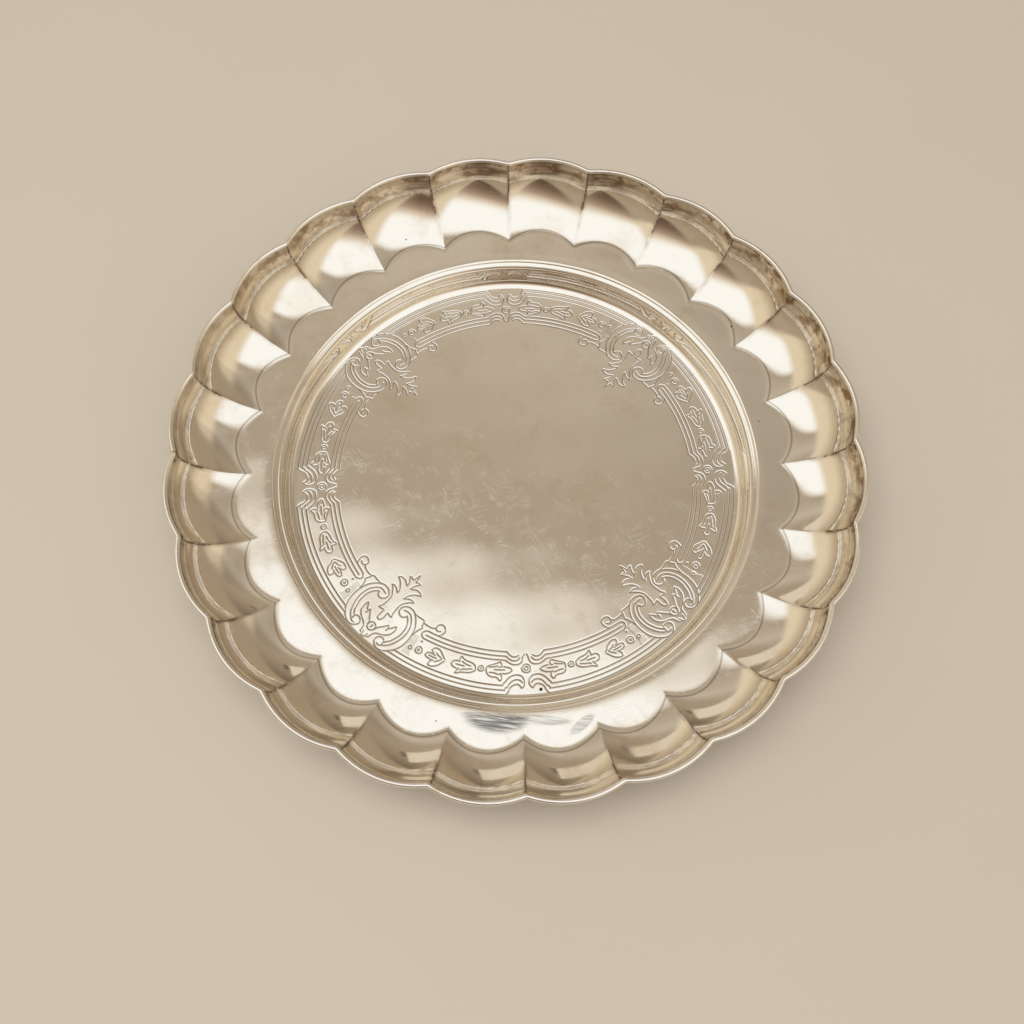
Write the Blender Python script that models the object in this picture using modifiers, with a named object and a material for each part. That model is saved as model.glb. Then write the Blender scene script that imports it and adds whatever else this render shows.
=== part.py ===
"""A round card tray with a fluted border.

The real tray is one sheet of metal, pressed in a die: a flat centre panel sits in a well, a narrow
bevelled shoulder leads up to a flat band, and the band runs into 24 spoon-shaped flutes whose walls
end in an upright, scalloped lip. A round wire is soldered along the lip's edge, and its two ends
meet in a bead of solder at one notch. Everything is silver plated.

Lengths are in metres, +Z is up, and the tray stands on the underside of its centre panel at Z = 0.
Radii and heights describe the upper surface of the sheet, and the sheet's thickness lies below it.
"""

from math import atan2, cos, pi, radians, sin, sqrt, tan

import bmesh
import bpy

# The sheet and how it is bent
SHEET_THICKNESS = 0.0008
INNER_BEND_RADIUS = 0.0003
CLEARANCE = 0.0003
MERGE_DISTANCE = 0.00001

# The scalloped lip, and the flutes that run in from it
LOBES = 24
LIP_NOTCH_RADIUS = 0.08695
SCALLOP_DEPTH = 0.0021
LIP_HEIGHT = 0.00105
FLUTE_HEIGHT = 0.0128
FLUTE_FULLNESS = 1.7
FLUTE_RUN = 0.01455
CREASE_RUN = 0.01665

# The flat band inside the flutes, the small step at its inner edge, and the bevelled shoulder
BAND_WIDTH = 0.0049
STEP_WIDTH = 0.0004
STEP_DROP = 0.0003
SHOULDER_WIDTH = 0.0015
SHOULDER_DROP = 0.0005

# The well and its flat panel
WELL_DEPTH = 0.0067
WELL_WALL_SLOPE = radians(80)
WELL_FILLET_RADIUS = 0.0026

# The applied wire and the solder where its ends meet
WIRE_DIAMETER = 0.0013
BEAD_LENGTH = 0.0008
BEAD_EDGE_ROUND = 0.00015
BEAD_SIDES = 24

# How finely the curves are stepped
GORE_STEPS = 3
FILLET_STEPS = 3
BEND_STEPS = 2
FLUTE_STEPS = 7
WIRE_BEVEL_RESOLUTION = 2
SMOOTH_LIMIT = radians(32)

# Values that follow from the ones above
LOBE_PITCH = 2 * pi / LOBES
HALF_LOBE = LOBE_PITCH / 2
JOINT_ANGLE = pi
LIP_CREST_RADIUS = LIP_NOTCH_RADIUS + SCALLOP_DEPTH
FLUTE_FOOT_RADIUS = LIP_CREST_RADIUS - FLUTE_RUN
CREASE_FOOT_RADIUS = LIP_NOTCH_RADIUS - CREASE_RUN
BAND_INNER_RADIUS = CREASE_FOOT_RADIUS - BAND_WIDTH
SHOULDER_RADIUS = BAND_INNER_RADIUS - STEP_WIDTH
PANEL_TOP = SHEET_THICKNESS
BAND_TOP = PANEL_TOP + WELL_DEPTH
LIP_TOP = BAND_TOP + FLUTE_HEIGHT + LIP_HEIGHT
WIRE_RADIUS = WIRE_DIAMETER / 2
WIRE_HEIGHT = LIP_TOP + CLEARANCE + WIRE_RADIUS


def clear_scene():
    """Removes whatever the file held, so that the script can be run again."""
    for item in list(bpy.data.objects):
        bpy.data.objects.remove(item, do_unlink=True)
    for group in list(bpy.data.collections):
        bpy.data.collections.remove(group)


def metal(name, colour, roughness):
    """A Principled metal of one colour."""
    made = bpy.data.materials.new(name)
    made.use_nodes = True
    shader = made.node_tree.nodes["Principled BSDF"]
    shader.inputs["Base Color"].default_value = (*colour, 1)
    shader.inputs["Metallic"].default_value = 1
    shader.inputs["Roughness"].default_value = roughness
    return made


def place(name, data, group, material):
    """Puts a named object with its material into the tray's collection."""
    made = bpy.data.objects.new(name, data)
    made.data.materials.append(material)
    group.objects.link(made)
    return made


def lobe_arc():
    """Distance of a lobe's arc centre from the tray's axis, and the arc's radius.

    In plan each lobe of the lip is a circular arc through its crest and its two notches.
    """
    chord_gap = LIP_CREST_RADIUS - LIP_NOTCH_RADIUS * cos(HALF_LOBE)
    centre = (LIP_CREST_RADIUS**2 - LIP_NOTCH_RADIUS**2) / (2 * chord_gap)
    return centre, LIP_CREST_RADIUS - centre


def lip_radius(angle, outward=0):
    """Radius of the lip at an angle from a lobe's crest, moved outward square to the lip."""
    centre, arc = lobe_arc()
    return centre * cos(angle) + sqrt((arc + outward) ** 2 - (centre * sin(angle)) ** 2)


def arc_points(centre, radius, start, end, steps):
    """Points along an arc in the plane of radius and height, with both ends."""
    turn = (end - start) / steps
    angles = [start + turn * step for step in range(steps + 1)]
    return [(centre[0] + radius * cos(a), centre[1] + radius * sin(a)) for a in angles]


def well_profile():
    """Radius and height of the upper surface from the centre out to the band's inner edge.

    The band drops a small step to the shoulder, whose bevel bends down into the well's wall, and
    the wall runs into the panel in a fillet. The bend's radius on top is the sheet's thickness
    plus the bend inside it, as on any pressed sheet, and the straight wall takes up the depth
    that is left between the bend and the fillet.
    """
    bevel = atan2(SHOULDER_DROP, SHOULDER_WIDTH)
    shoulder_height = BAND_TOP - STEP_DROP
    bend_radius = SHEET_THICKNESS + INNER_BEND_RADIUS
    bend_centre = (
        SHOULDER_RADIUS - SHOULDER_WIDTH + bend_radius * sin(bevel),
        shoulder_height - SHOULDER_DROP - bend_radius * cos(bevel),
    )
    bend = arc_points(bend_centre, bend_radius, pi / 2 + WELL_WALL_SLOPE, pi / 2 + bevel, BEND_STEPS)

    fillet_height = PANEL_TOP + WELL_FILLET_RADIUS
    fillet_end_height = fillet_height - WELL_FILLET_RADIUS * cos(WELL_WALL_SLOPE)
    wall_run = (bend[0][1] - fillet_end_height) / tan(WELL_WALL_SLOPE)
    fillet_centre = (bend[0][0] - wall_run - WELL_FILLET_RADIUS * sin(WELL_WALL_SLOPE), fillet_height)
    fillet = arc_points(
        fillet_centre, WELL_FILLET_RADIUS, -pi / 2, WELL_WALL_SLOPE - pi / 2, FILLET_STEPS
    )

    step = [(SHOULDER_RADIUS, shoulder_height), (BAND_INNER_RADIUS, BAND_TOP)]
    return [(0, PANEL_TOP)] + fillet + bend + step


def flute_profile(angle):
    """Radius and height of the upper surface from the flute's foot to the lip's edge.

    At the lobe's crest the profile is the flute's floor, and at a notch it is the crease between
    two flutes. In between, both the foot and the lip follow the lobe's arc. The rise is part of a
    superellipse: level at its foot, upright where the lip begins, and fuller than an ellipse.
    """
    lip = lip_radius(angle)
    share = (LIP_CREST_RADIUS - lip) / (LIP_CREST_RADIUS - LIP_NOTCH_RADIUS)
    foot = FLUTE_FOOT_RADIUS + (CREASE_FOOT_RADIUS - FLUTE_FOOT_RADIUS) * share
    points = []
    for step in range(FLUTE_STEPS + 1):
        turn = pi / 2 * step / FLUTE_STEPS
        reach = sin(turn) ** (2 / FLUTE_FULLNESS)
        points.append((foot + (lip - foot) * reach, BAND_TOP + FLUTE_HEIGHT * (1 - cos(turn))))
    return points + [(lip, LIP_TOP)]


def half_gore():
    """The upper surface of half a lobe, from its crest on +X round to one crease."""
    shape = bmesh.new()
    columns = []
    for step in range(GORE_STEPS + 1):
        angle = HALF_LOBE * step / GORE_STEPS
        profile = well_profile() + flute_profile(angle)
        columns.append(
            [shape.verts.new((r * cos(angle), r * sin(angle), z)) for r, z in profile]
        )
    for near, far in zip(columns, columns[1:]):
        for row in range(len(near) - 1):
            shape.faces.new((near[row], near[row + 1], far[row + 1], far[row]))
    bmesh.ops.remove_doubles(shape, verts=shape.verts, dist=MERGE_DISTANCE)
    mesh = bpy.data.meshes.new("dish")
    shape.to_mesh(mesh)
    shape.free()
    mesh.shade_smooth()
    mesh.set_sharp_from_angle(angle=SMOOTH_LIMIT)
    return mesh


def make_dish(group, material):
    """The pressed sheet: half a lobe mirrored, repeated round the axis, and given its thickness."""
    dish = place("dish", half_gore(), group, material)
    dish.rotation_euler.z = HALF_LOBE

    step = bpy.data.objects.new("lobe_step", None)
    step.rotation_euler.z = HALF_LOBE + LOBE_PITCH
    group.objects.link(step)

    other_half = dish.modifiers.new("other_half", "MIRROR")
    other_half.use_axis = (False, True, False)
    other_half.merge_threshold = MERGE_DISTANCE

    lobes = dish.modifiers.new("lobes", "ARRAY")
    lobes.count = LOBES
    lobes.use_relative_offset = False
    lobes.use_object_offset = True
    lobes.offset_object = step
    lobes.use_merge_vertices = True
    lobes.use_merge_vertices_cap = True
    lobes.merge_threshold = MERGE_DISTANCE

    closed = dish.modifiers.new("closed", "WELD")
    closed.merge_threshold = MERGE_DISTANCE

    sheet = dish.modifiers.new("sheet", "SOLIDIFY")
    sheet.thickness = SHEET_THICKNESS
    sheet.offset = -1
    sheet.use_even_offset = True
    return dish


def wire_points():
    """Points along the wire's centreline, over the middle of the sheet's edge.

    The wire starts and ends short of one notch, and the bead of solder lies between its ends. The
    ends meet the bead at a slant, so the space between them includes what the slant takes up.
    """
    middle = SHEET_THICKNESS / 2
    notch = lip_radius(HALF_LOBE, middle)
    slant = lobe_slant()
    end_space = BEAD_LENGTH / 2 + CLEARANCE + WIRE_RADIUS * tan(slant)
    end_angle = end_space / notch
    angles = [HALF_LOBE * step / GORE_STEPS for step in range(2 * GORE_STEPS * LOBES + 1)]
    angles[0] = end_angle
    angles[-1] -= end_angle
    points = []
    for angle in angles:
        from_crest = angle % LOBE_PITCH - HALF_LOBE
        radius = lip_radius(from_crest, middle)
        turn = JOINT_ANGLE + angle
        points.append((radius * cos(turn), radius * sin(turn), WIRE_HEIGHT))
    return points


def lobe_slant():
    """Angle between the lip and a circle round the axis, where a lobe meets its notch."""
    centre, arc = lobe_arc()
    return atan2(centre * sin(HALF_LOBE), sqrt(arc**2 - (centre * sin(HALF_LOBE)) ** 2))


def make_rim_wire(group, material):
    """The applied wire: one length of round wire bent to the scallops of the lip."""
    curve = bpy.data.curves.new("rim_wire", "CURVE")
    curve.dimensions = "3D"
    curve.bevel_depth = WIRE_RADIUS
    curve.bevel_resolution = WIRE_BEVEL_RESOLUTION
    curve.use_fill_caps = True
    points = wire_points()
    line = curve.splines.new("POLY")
    line.points.add(len(points) - 1)
    for point, position in zip(line.points, points):
        point.co = (*position, 1)
    return place("rim_wire", curve, group, material)


def make_wire_joint(group, material):
    """The bead of solder in the notch: as thick as the wire, and square to the tray's radius."""
    shape = bmesh.new()
    bmesh.ops.create_cone(
        shape,
        cap_ends=True,
        segments=BEAD_SIDES,
        radius1=WIRE_RADIUS,
        radius2=WIRE_RADIUS,
        depth=BEAD_LENGTH,
    )
    mesh = bpy.data.meshes.new("wire_joint")
    shape.to_mesh(mesh)
    shape.free()
    mesh.shade_smooth()
    mesh.set_sharp_from_angle(angle=SMOOTH_LIMIT)
    bead = place("wire_joint", mesh, group, material)
    notch = lip_radius(HALF_LOBE, SHEET_THICKNESS / 2)
    bead.location = (notch * cos(JOINT_ANGLE), notch * sin(JOINT_ANGLE), WIRE_HEIGHT)
    bead.rotation_euler = (pi / 2, 0, JOINT_ANGLE)
    rounding = bead.modifiers.new("edge_round", "BEVEL")
    rounding.width = BEAD_EDGE_ROUND
    rounding.segments = 2
    rounding.limit_method = "ANGLE"
    return bead


def build():
    """Builds the tray's pieces in one collection."""
    clear_scene()
    group = bpy.data.collections.new("card_tray")
    bpy.context.scene.collection.children.link(group)
    plate = metal("silver_plate", (0.80, 0.76, 0.69), 0.16)
    solder = metal("worn_solder", (0.62, 0.47, 0.24), 0.35)
    make_dish(group, plate)
    make_rim_wire(group, plate)
    make_wire_joint(group, solder)


build()
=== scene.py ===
# %% [markdown]
# # A fluted card tray in worn silver plate
# The real tray is one sheet of metal, pressed in a die and silver plated. A flat panel with chased
# scrolls lies in a well, a flat band runs round the well, and 24 spoon-shaped flutes rise from the
# band to an upright, scalloped lip. A round wire is soldered along the lip.
#
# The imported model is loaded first. It is the fixed frame: it says how large the tray is and where
# each piece lies, and the fine surfaces made below take its place in the picture.

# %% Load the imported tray
from math import asin, atan2, cos, pi, radians, sin, tan

import bpy
import numpy as np
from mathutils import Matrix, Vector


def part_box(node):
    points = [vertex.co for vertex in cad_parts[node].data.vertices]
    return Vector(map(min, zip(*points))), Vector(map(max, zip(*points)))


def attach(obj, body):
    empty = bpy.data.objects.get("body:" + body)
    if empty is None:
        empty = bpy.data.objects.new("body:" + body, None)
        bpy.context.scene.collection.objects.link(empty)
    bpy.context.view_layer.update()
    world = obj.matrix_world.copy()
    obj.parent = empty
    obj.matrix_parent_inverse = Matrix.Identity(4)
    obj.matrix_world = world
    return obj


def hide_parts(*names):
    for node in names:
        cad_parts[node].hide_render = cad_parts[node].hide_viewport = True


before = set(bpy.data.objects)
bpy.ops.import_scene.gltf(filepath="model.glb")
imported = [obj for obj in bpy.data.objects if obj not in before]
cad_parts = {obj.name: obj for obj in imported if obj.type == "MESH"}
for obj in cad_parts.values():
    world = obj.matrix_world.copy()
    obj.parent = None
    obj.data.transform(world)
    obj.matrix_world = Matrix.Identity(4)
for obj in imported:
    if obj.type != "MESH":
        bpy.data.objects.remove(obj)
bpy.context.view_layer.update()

print("nodes:", sorted(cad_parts))

# %% [markdown]
# ## Sizes
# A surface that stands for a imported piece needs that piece's own sizes, so the driving sizes of the
# tray are repeated here. Everything else is worked out from them. Lengths are in metres, but the
# long lists of the chased pattern are easier to read in millimetres, so there is a factor for those.

# %% Driving sizes
MM = 0.001

SHEET_THICKNESS = 0.0008
INNER_BEND_RADIUS = 0.0003

LOBES = 24
LIP_NOTCH_RADIUS = 0.08695
SCALLOP_DEPTH = 0.0021
LIP_HEIGHT = 0.00105
FLUTE_HEIGHT = 0.0128
FLUTE_FULLNESS = 1.7
FLUTE_RUN = 0.01455
CREASE_RUN = 0.01665

BAND_WIDTH = 0.0049
STEP_WIDTH = 0.0004
STEP_DROP = 0.0003
SHOULDER_WIDTH = 0.0015
SHOULDER_DROP = 0.0005

WELL_DEPTH = 0.0067
WELL_WALL_SLOPE = radians(80)
WELL_FILLET_RADIUS = 0.0026

wire_low, wire_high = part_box("rim_wire")
WIRE_RADIUS = (wire_high.z - wire_low.z) / 2
WIRE_HEIGHT = (wire_high.z + wire_low.z) / 2

# %% Sizes that follow
LOBE_PITCH = 2 * pi / LOBES
HALF_LOBE = LOBE_PITCH / 2
LIP_CREST_RADIUS = LIP_NOTCH_RADIUS + SCALLOP_DEPTH
FLUTE_FOOT_RADIUS = LIP_CREST_RADIUS - FLUTE_RUN
CREASE_FOOT_RADIUS = LIP_NOTCH_RADIUS - CREASE_RUN
BAND_INNER_RADIUS = CREASE_FOOT_RADIUS - BAND_WIDTH
SHOULDER_RADIUS = BAND_INNER_RADIUS - STEP_WIDTH
SHOULDER_INNER_RADIUS = SHOULDER_RADIUS - SHOULDER_WIDTH
PANEL_TOP = SHEET_THICKNESS
BAND_TOP = PANEL_TOP + WELL_DEPTH
SHOULDER_TOP = BAND_TOP - STEP_DROP
LIP_TOP = BAND_TOP + FLUTE_HEIGHT + LIP_HEIGHT
print(f"lip {1000 * LIP_CREST_RADIUS:.2f} mm out, band {1000 * BAND_TOP:.2f} mm up")

# %% [markdown]
# ## Turning arrays into a mesh
# Each piece below is worked out as whole arrays of points, so one helper is enough: it writes the
# points and faces into a mesh, shades it smooth apart from its sharp edges, and stores measures such
# as how deep a groove is at each point, for the material to read.

# %% The mesh helper
SHARP_LIMIT = radians(50)


def mesh_piece(name, points, faces, measures=None):
    """A smooth-shaded object at the origin from an (n, 3) array of points and lists of corners."""
    mesh = bpy.data.meshes.new(name)
    mesh.from_pydata(points.tolist(), [], faces)
    mesh.shade_smooth()
    mesh.set_sharp_from_angle(angle=SHARP_LIMIT)
    for label, values in (measures or {}).items():
        mesh.attributes.new(label, "FLOAT", "POINT").data.foreach_set("value", values.ravel())
    piece = bpy.data.objects.new(name, mesh)
    bpy.context.scene.collection.objects.link(piece)
    mesh.calc_loop_triangles()
    print(f"{name}: {len(mesh.vertices)} points, {len(mesh.loop_triangles)} triangles")
    return piece


def grid_faces(rows, columns, wrap_rows=False, wrap_columns=False):
    """Corners of the quads between neighbouring rows and columns of a grid, stored row by row.

    Quad (i, j) joins points (i, j), (i+1, j), (i+1, j+1) and (i, j+1), so it faces the way that a
    right-hand screw moves when it turns from the rows' direction to the columns'. A wrapped grid
    joins its last row or column to its first.
    """
    i = np.arange(rows if wrap_rows else rows - 1)[:, None]
    j = np.arange(columns if wrap_columns else columns - 1)[None, :]
    next_i = (i + 1) % rows
    next_j = (j + 1) % columns
    corners = [i * columns + j, next_i * columns + j, next_i * columns + next_j, i * columns + next_j]
    return np.stack(corners, axis=-1).reshape(-1, 4).tolist()


def polar_points(radius, angle, height):
    """Points of a surface given by radius, angle round the axis and height, as an (n, 3) array."""
    radius, angle, height = np.broadcast_arrays(radius, angle, height)
    points = np.stack([radius * np.cos(angle), radius * np.sin(angle), height], axis=-1)
    return points.reshape(-1, 3)


# %% [markdown]
# ## The hand-finished unevenness
# Polished sheet is never quite flat. Its long, shallow waves are what bends a reflection, so they
# are real in the mesh: three slow waves in different directions are added to every height. All the
# pieces of the dish use the same function of place, so they still meet.

# %% Waves of the polished sheet
WAVE_HEIGHT = 0.000016
WAVE_LENGTHS = (0.0210, 0.0160, 0.0265)
WAVE_HEADINGS = (0.4, 1.7, 2.6)
WAVE_STARTS = (0.3, 2.1, 4.4)


def sheet_waves(x, y):
    """Height of the waves: the sum of sines along three headings, each with its own length."""
    total = 0
    for length, heading, start in zip(WAVE_LENGTHS, WAVE_HEADINGS, WAVE_STARTS):
        along = x * cos(heading) + y * sin(heading)
        total = total + np.sin(2 * pi * along / length + start)
    return WAVE_HEIGHT * total


# %% [markdown]
# ## The scalloped lip in plan
# In plan each lobe is an arc of a circle through its crest and its two notches. Its radius is given
# as a function of the angle from the lobe's crest. The die leaves the notches slightly rounded, so
# that angle is eased near a notch: it approaches half a lobe but turns back before it gets there.

# %% Lobes in plan
NOTCH_EASE = 0.0026
POINTS_PER_LOBE = 32


def from_crest(angle, ease=NOTCH_EASE):
    """Angle from the nearest lobe's crest, rounded off at the notches.

    With d the angle from the nearest notch, this is half a lobe less sqrt(d^2 + ease^2).
    """
    from_notch = (angle + HALF_LOBE) % LOBE_PITCH - HALF_LOBE
    return HALF_LOBE - np.sqrt(from_notch**2 + ease**2)


def lip_radius(crest_angle, outward=0):
    """Radius of the lip, moved outward square to its own line.

    The lobe's arc has its centre at c and its radius is a, so the radius at angle t from the crest
    is c cos(t) + sqrt((a + outward)^2 - c^2 sin(t)^2).
    """
    chord_gap = LIP_CREST_RADIUS - LIP_NOTCH_RADIUS * cos(HALF_LOBE)
    centre = (LIP_CREST_RADIUS**2 - LIP_NOTCH_RADIUS**2) / (2 * chord_gap)
    arc = LIP_CREST_RADIUS - centre
    across = centre * np.sin(crest_angle)
    return centre * np.cos(crest_angle) + np.sqrt((arc + outward) ** 2 - across**2)


def round_angles(per_lobe):
    """Angles once round the axis, closer together near the notches, where the sheet turns sharply.

    Across each lobe a step s from -1 to 1 lands at half a lobe times s (1.5 - 0.5 s^2).
    """
    step = 2 * np.arange(per_lobe) / per_lobe - 1
    within = HALF_LOBE * step * (1.5 - 0.5 * step**2)
    crests = HALF_LOBE + LOBE_PITCH * np.arange(LOBES)
    return (crests[:, None] + within[None, :]).ravel()


print("lip from", lip_radius(from_crest(np.array([0.0, HALF_LOBE]))).round(5), "m")

# %% [markdown]
# ## The border of the dish
# From the panel outward the sheet curves up in a fillet, climbs the well's wall, bends over into a
# narrow shoulder between two fine raised lines, steps up to the band, and rises in the flutes to
# the lip. So the border is one profile, in radius and height, carried round the axis, with its
# outer part changing from crest to notch. The underside is the same profile moved down by the
# sheet's thickness, and the two are closed into a ring.

# %% The well's part of the profile
FINE_LINE_HALF_WIDTH = 0.00024
FINE_LINE_HEIGHT = 0.00014
BAND_ROLL_WIDTH = 0.0023
BAND_ROLL_DROP = 0.00008
HEM_OF_LIP = 0.00045
PANEL_OVERRUN = 0.0005


def arc_profile(centre, radius, start, end, steps, ease=1.0):
    """Radius and height along an arc; an ease over 1 crowds the points towards its start."""
    share = np.linspace(0, 1, steps + 1) ** ease
    turn = start + (end - start) * share
    return np.stack([centre[0] + radius * np.cos(turn), centre[1] + radius * np.sin(turn)], axis=1)


def well_profile(fine):
    """Radius and height from the panel to the shoulder: fillet, straight wall and bend.

    The chased ring runs on a little way up the fillet, so the profile starts where the ring ends.
    """
    bevel = atan2(SHOULDER_DROP, SHOULDER_WIDTH)
    bend_radius = SHEET_THICKNESS + INNER_BEND_RADIUS
    bend_centre = (
        SHOULDER_INNER_RADIUS + bend_radius * sin(bevel),
        SHOULDER_TOP - SHOULDER_DROP - bend_radius * cos(bevel),
    )
    bend = arc_profile(bend_centre, bend_radius, pi / 2 + WELL_WALL_SLOPE, pi / 2 + bevel, 4 * fine)
    fillet_height = PANEL_TOP + WELL_FILLET_RADIUS
    fillet_end = fillet_height - WELL_FILLET_RADIUS * cos(WELL_WALL_SLOPE)
    wall_run = (bend[0, 1] - fillet_end) / tan(WELL_WALL_SLOPE)
    fillet_centre = (bend[0, 0] - wall_run - WELL_FILLET_RADIUS * sin(WELL_WALL_SLOPE), fillet_height)
    start = asin(PANEL_OVERRUN / WELL_FILLET_RADIUS) - pi / 2
    end = WELL_WALL_SLOPE - pi / 2
    fillet = arc_profile(fillet_centre, WELL_FILLET_RADIUS, start, end, 7 * fine)
    wall = np.linspace(fillet[-1], bend[0], 2 + fine)[1:-1]
    return np.concatenate([fillet, wall, bend])


RING_OUTER_RADIUS = well_profile(1)[0, 0]
PANEL_EDGE_RADIUS = RING_OUTER_RADIUS - PANEL_OVERRUN
print(f"the flat panel ends {1000 * PANEL_EDGE_RADIUS:.2f} mm out")


def panel_height(radius):
    """Height of the panel: level out to its edge, then up the start of the well's fillet."""
    beyond = np.clip(radius - PANEL_EDGE_RADIUS, 0, None)
    return PANEL_TOP + WELL_FILLET_RADIUS - np.sqrt(WELL_FILLET_RADIUS**2 - beyond**2)


# %% Shoulder, step and band
def fine_line(radius, line):
    """Height of a fine raised line at a radius: h (1 - (d / w)^2)^2 within its half width w."""
    share = np.clip(np.abs(radius - line) / FINE_LINE_HALF_WIDTH, 0, 1)
    return FINE_LINE_HEIGHT * (1 - share**2) ** 2


def shoulder_profile():
    """Radius and height of the bevelled shoulder with a fine raised line along each edge."""
    spread = FINE_LINE_HALF_WIDTH * np.linspace(-1, 1, 7)
    inner = SHOULDER_INNER_RADIUS + spread[3:]
    between = np.linspace(SHOULDER_INNER_RADIUS, SHOULDER_RADIUS, 8)[2:-2]
    outer = SHOULDER_RADIUS + spread[:-1]
    radius = np.concatenate([inner, between, outer])
    share = np.clip((radius - SHOULDER_INNER_RADIUS) / SHOULDER_WIDTH, 0, 1)
    height = SHOULDER_TOP - SHOULDER_DROP * (1 - share)
    height += fine_line(radius, SHOULDER_INNER_RADIUS) + fine_line(radius, SHOULDER_RADIUS)
    return np.stack([radius, height], axis=1)


def band_height(radius):
    """Height of the band, which rolls down a little towards the step at its inner edge."""
    roll_start = BAND_INNER_RADIUS + BAND_ROLL_WIDTH
    share = np.clip((roll_start - radius) / BAND_ROLL_WIDTH, 0, 1)
    return BAND_TOP - BAND_ROLL_DROP * share**2


# %% Flutes and lip
FINE_ROWS = {"well": 2, "band": 14, "flute": 34, "lip": 4}
PLAIN_ROWS = {"well": 1, "band": 3, "flute": 16, "lip": 2}
BAND_CROWDING = 1.3


def flute_surface(crest_angle, turns):
    """Radius and height of the flutes: rows for the turns, columns for the angles from a crest.

    A share that is 0 at the crest and 1 at the notch moves the foot from the flute's to the
    crease's. With q the turn from 0 to a right angle and n the fullness, the radius runs from the
    foot to the lip as sin(q)^(2/n) and the height as 1 - cos(q): level at the foot, upright at the
    lip, and fuller than an ellipse.
    """
    lip = lip_radius(crest_angle)
    share = (LIP_CREST_RADIUS - lip) / SCALLOP_DEPTH
    foot = FLUTE_FOOT_RADIUS + (CREASE_FOOT_RADIUS - FLUTE_FOOT_RADIUS) * share
    reach = np.sin(turns[:, None]) ** (2 / FLUTE_FULLNESS)
    radius = foot + (lip - foot) * reach
    height = BAND_TOP + FLUTE_HEIGHT * (1 - np.cos(turns[:, None])) + 0 * lip
    return radius, height


def border_surface(crest_angle, fine):
    """Radius and height of the border's upper side, in rows from the panel's edge to the lip.

    The fine one has the shoulder's raised lines. The plain one, with fewer rows, leaves them out.
    """
    rows = FINE_ROWS if fine else PLAIN_ROWS
    inner = well_profile(rows["well"])
    if fine:
        inner = np.concatenate([inner[:-1], shoulder_profile()])
    else:
        inner = np.concatenate([inner, [(SHOULDER_RADIUS, SHOULDER_TOP)]])
    level = np.ones_like(crest_angle)
    turns = np.linspace(0, pi / 2, rows["flute"])
    radius, height = flute_surface(crest_angle, turns)
    across = np.linspace(0, 1, rows["band"])[:-1, None] ** BAND_CROWDING
    band_radius = BAND_INNER_RADIUS + (radius[0] - BAND_INNER_RADIUS) * across
    rise = np.linspace(0, 1, rows["lip"])[1:, None]
    lip_height = height[-1, 0] + (LIP_TOP + HEM_OF_LIP - height[-1, 0]) * rise
    radii = [inner[:, :1] * level, band_radius, radius, radius[-1] * np.ones_like(rise)]
    heights = [inner[:, 1:] * level, band_height(band_radius), height, lip_height * level]
    return np.concatenate(radii), np.concatenate(heights)


# %% The closed ring of the border
# Spread of the painted shade round each crease.
CREASE_SHADE_SPREAD = 0.0055


def underside(radius, angle, height):
    """The upper side moved by the sheet's thickness, within the upright plane of each column.

    The surface's normal is the cross product of its slopes along the columns and the rows. With
    (n_r, n_z) the part of it in the column's plane, the point moves by that part times the
    thickness over n_r^2 + n_z^2, which keeps the full thickness square to the sheet and lets the
    two sides of a crease meet in a mitre.
    """
    points = polar_points(radius, angle, height).reshape(*radius.shape, 3)
    up = np.gradient(points, axis=0)
    before = np.roll(points, 1, axis=1)
    after = np.roll(points, -1, axis=1)
    normal = np.cross(up, after - before)
    normal /= np.linalg.norm(normal, axis=-1, keepdims=True)
    outward = normal[..., 0] * np.cos(angle) + normal[..., 1] * np.sin(angle)
    upward = normal[..., 2]
    reach = SHEET_THICKNESS / (outward**2 + upward**2)
    return radius - reach * outward, height - reach * upward


def make_border():
    """The dish from the panel's edge to the lip and back underneath, closed both ways."""
    angle = round_angles(POINTS_PER_LOBE)
    crest_angle = from_crest(angle)
    radius, height = border_surface(crest_angle, True)
    plain_radius, plain_height = border_surface(crest_angle, False)
    under_radius, under_height = underside(plain_radius, angle, plain_height)
    under_height[-1] = plain_height[-1]
    under_height[0] = 0
    under_radius[0] = radius[0]
    radius_all = np.concatenate([radius, under_radius[::-1]])
    height_all = np.concatenate([height, under_height[::-1]])
    waves = sheet_waves(radius_all * np.cos(angle), radius_all * np.sin(angle))
    waves[len(radius) :] *= np.clip(under_height[::-1] / (3 * SHEET_THICKNESS), 0, 1)
    height_all = height_all + waves
    # Closeness to each crease, which the dish's material reads to paint shade round the creases.
    crease = np.exp(-(((HALF_LOBE - crest_angle - NOTCH_EASE) / CREASE_SHADE_SPREAD) ** 2))
    rise = np.clip((height_all - BAND_TOP) / FLUTE_HEIGHT, 0, 1)
    crease_shade = crease * np.clip(3 * rise, 0, 1)
    points = polar_points(radius_all, angle, height_all)
    faces = grid_faces(*radius_all.shape, wrap_rows=True, wrap_columns=True)
    return mesh_piece("dish_border", points, faces, {"crease_shade": crease_shade, "groove": 0 * crease_shade})


border = make_border()

# %% [markdown]
# ## The chased pattern
# The ring on the panel is chased by hand with a blunt tool: C-scrolls with leaves between them,
# rows of tulips and small rings, and groups of plain lines. It repeats four times round the ring,
# and each repeat is its own mirror image, so one eighth of the ring is enough. A tool mark is a
# stroke through a few points. Each point is an angle in degrees from the middle of the scrolls and
# a radius in millimetres on the drawing.

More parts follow.
